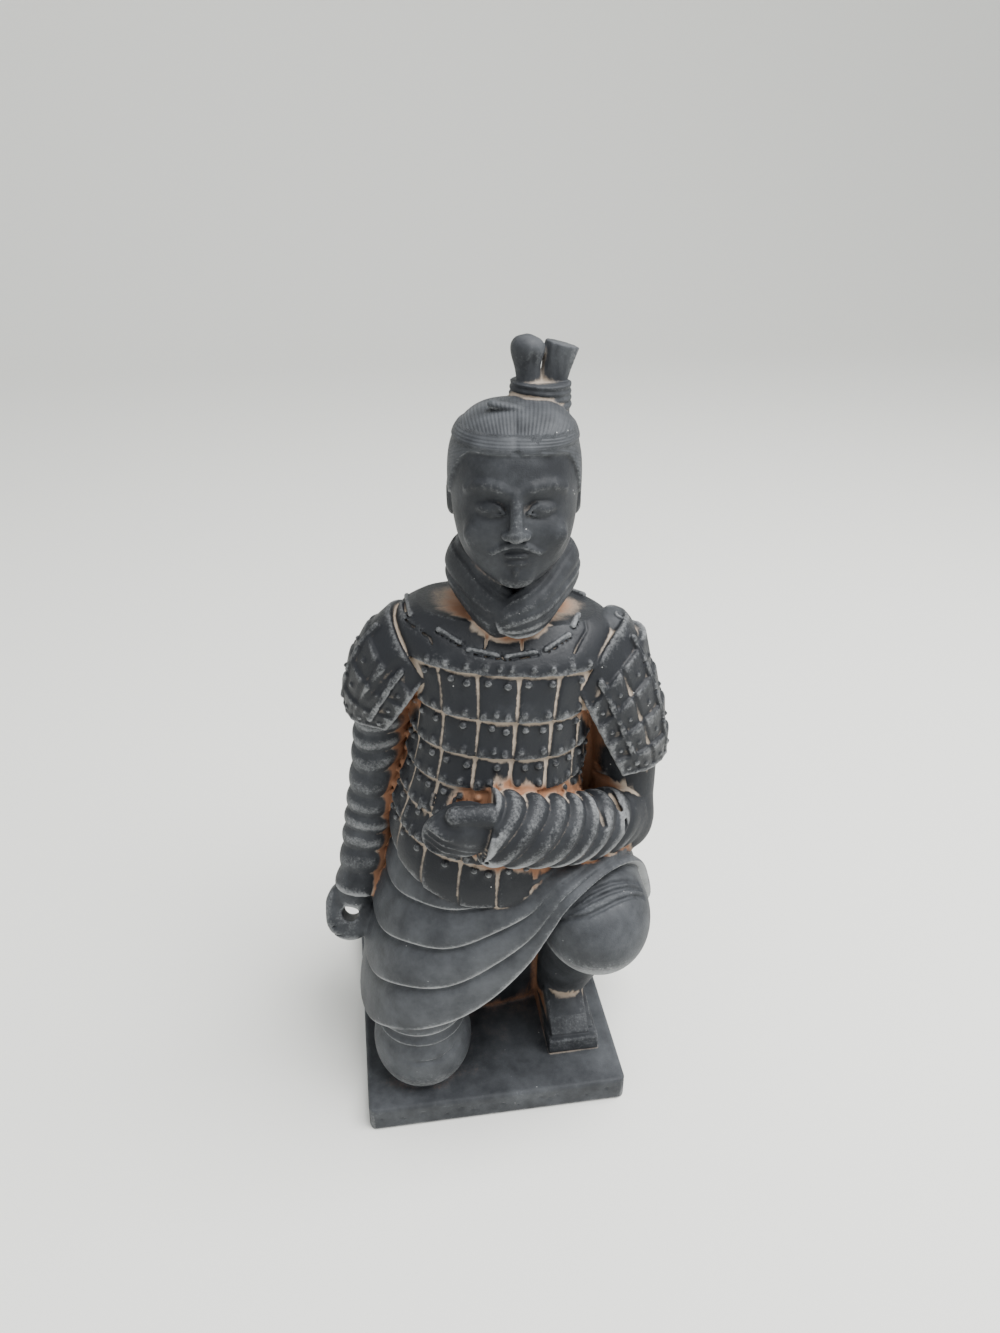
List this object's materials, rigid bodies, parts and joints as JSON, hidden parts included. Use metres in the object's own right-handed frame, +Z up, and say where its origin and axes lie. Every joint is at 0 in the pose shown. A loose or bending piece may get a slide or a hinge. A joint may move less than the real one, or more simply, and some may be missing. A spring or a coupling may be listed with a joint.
{
  "type": "kneeling warrior statuette",
  "caption": "Small dark clay figure of an armoured archer kneeling on one knee, with a topknot and a neck scarf, moulded in one with a thin rectangular plinth.",
  "frame": {"origin": "centre of the plinth's underside", "axes": "+Z up, -Y towards the front that the figure faces, +X towards the figure's left, where the raised knee is"},
  "size_m": [0.0848, 0.0745, 0.1803],
  "materials": {
    "smoked_clay": "matt, dark grey fired clay with lighter worn edges and tan residue in the hollows"
  },
  "bodies": {
    "root": {"kneeling_archer": "smoked_clay"}
  },
  "joints": []
}
